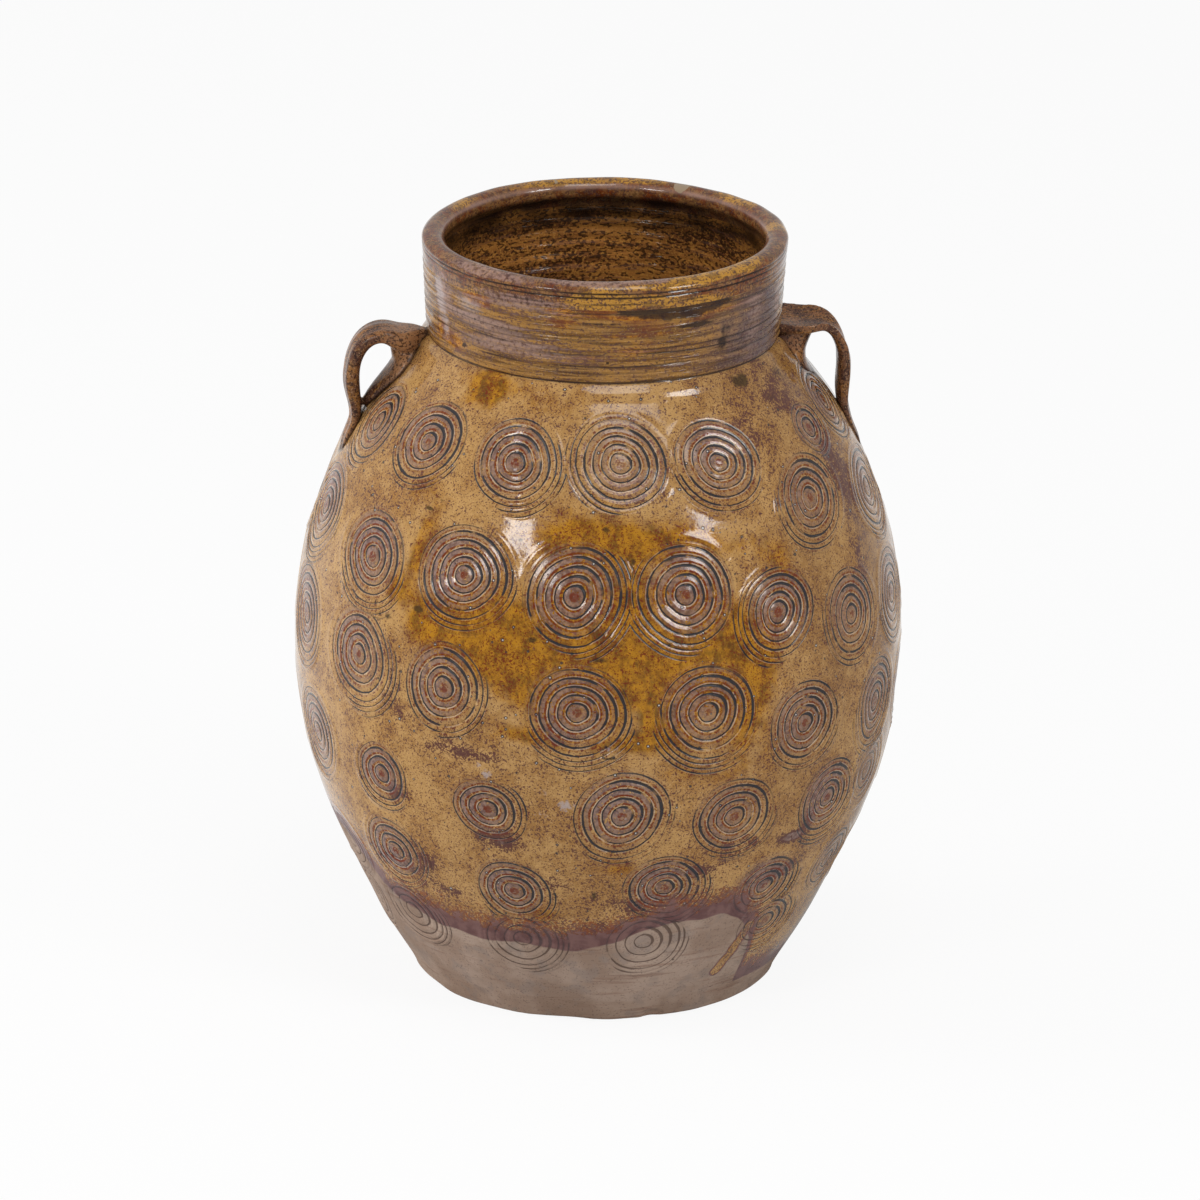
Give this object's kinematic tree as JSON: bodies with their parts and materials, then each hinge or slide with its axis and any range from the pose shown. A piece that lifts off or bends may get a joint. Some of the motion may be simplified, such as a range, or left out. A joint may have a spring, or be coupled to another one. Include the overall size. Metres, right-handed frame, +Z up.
{
  "type": "martaban jar",
  "caption": "Tall glazed stoneware storage jar with a swelling body, short wide neck, rolled rim and strap lugs for a cord.",
  "frame": {"origin": "centre of the jar's underside, on the surface that it stands on", "axes": "+Z up along the jar's axis, the lugs lie along X, +Y away from the pictured side"},
  "size_m": [0.3395, 0.3396, 0.431],
  "materials": {
    "amber_glaze": "glossy ochre to purple-brown glaze",
    "brown_glaze": "glossy dark brown glaze",
    "bare_clay": "unglazed grey-buff stoneware"
  },
  "bodies": {
    "root": {"floor_disc": "bare_clay", "lower_wall": "amber_glaze", "belly_wall": "amber_glaze", "shoulder_wall": "amber_glaze", "neck_collar": "amber_glaze", "rim_roll": "amber_glaze", "lug_left": "brown_glaze", "lug_right": "brown_glaze"}
  },
  "joints": []
}
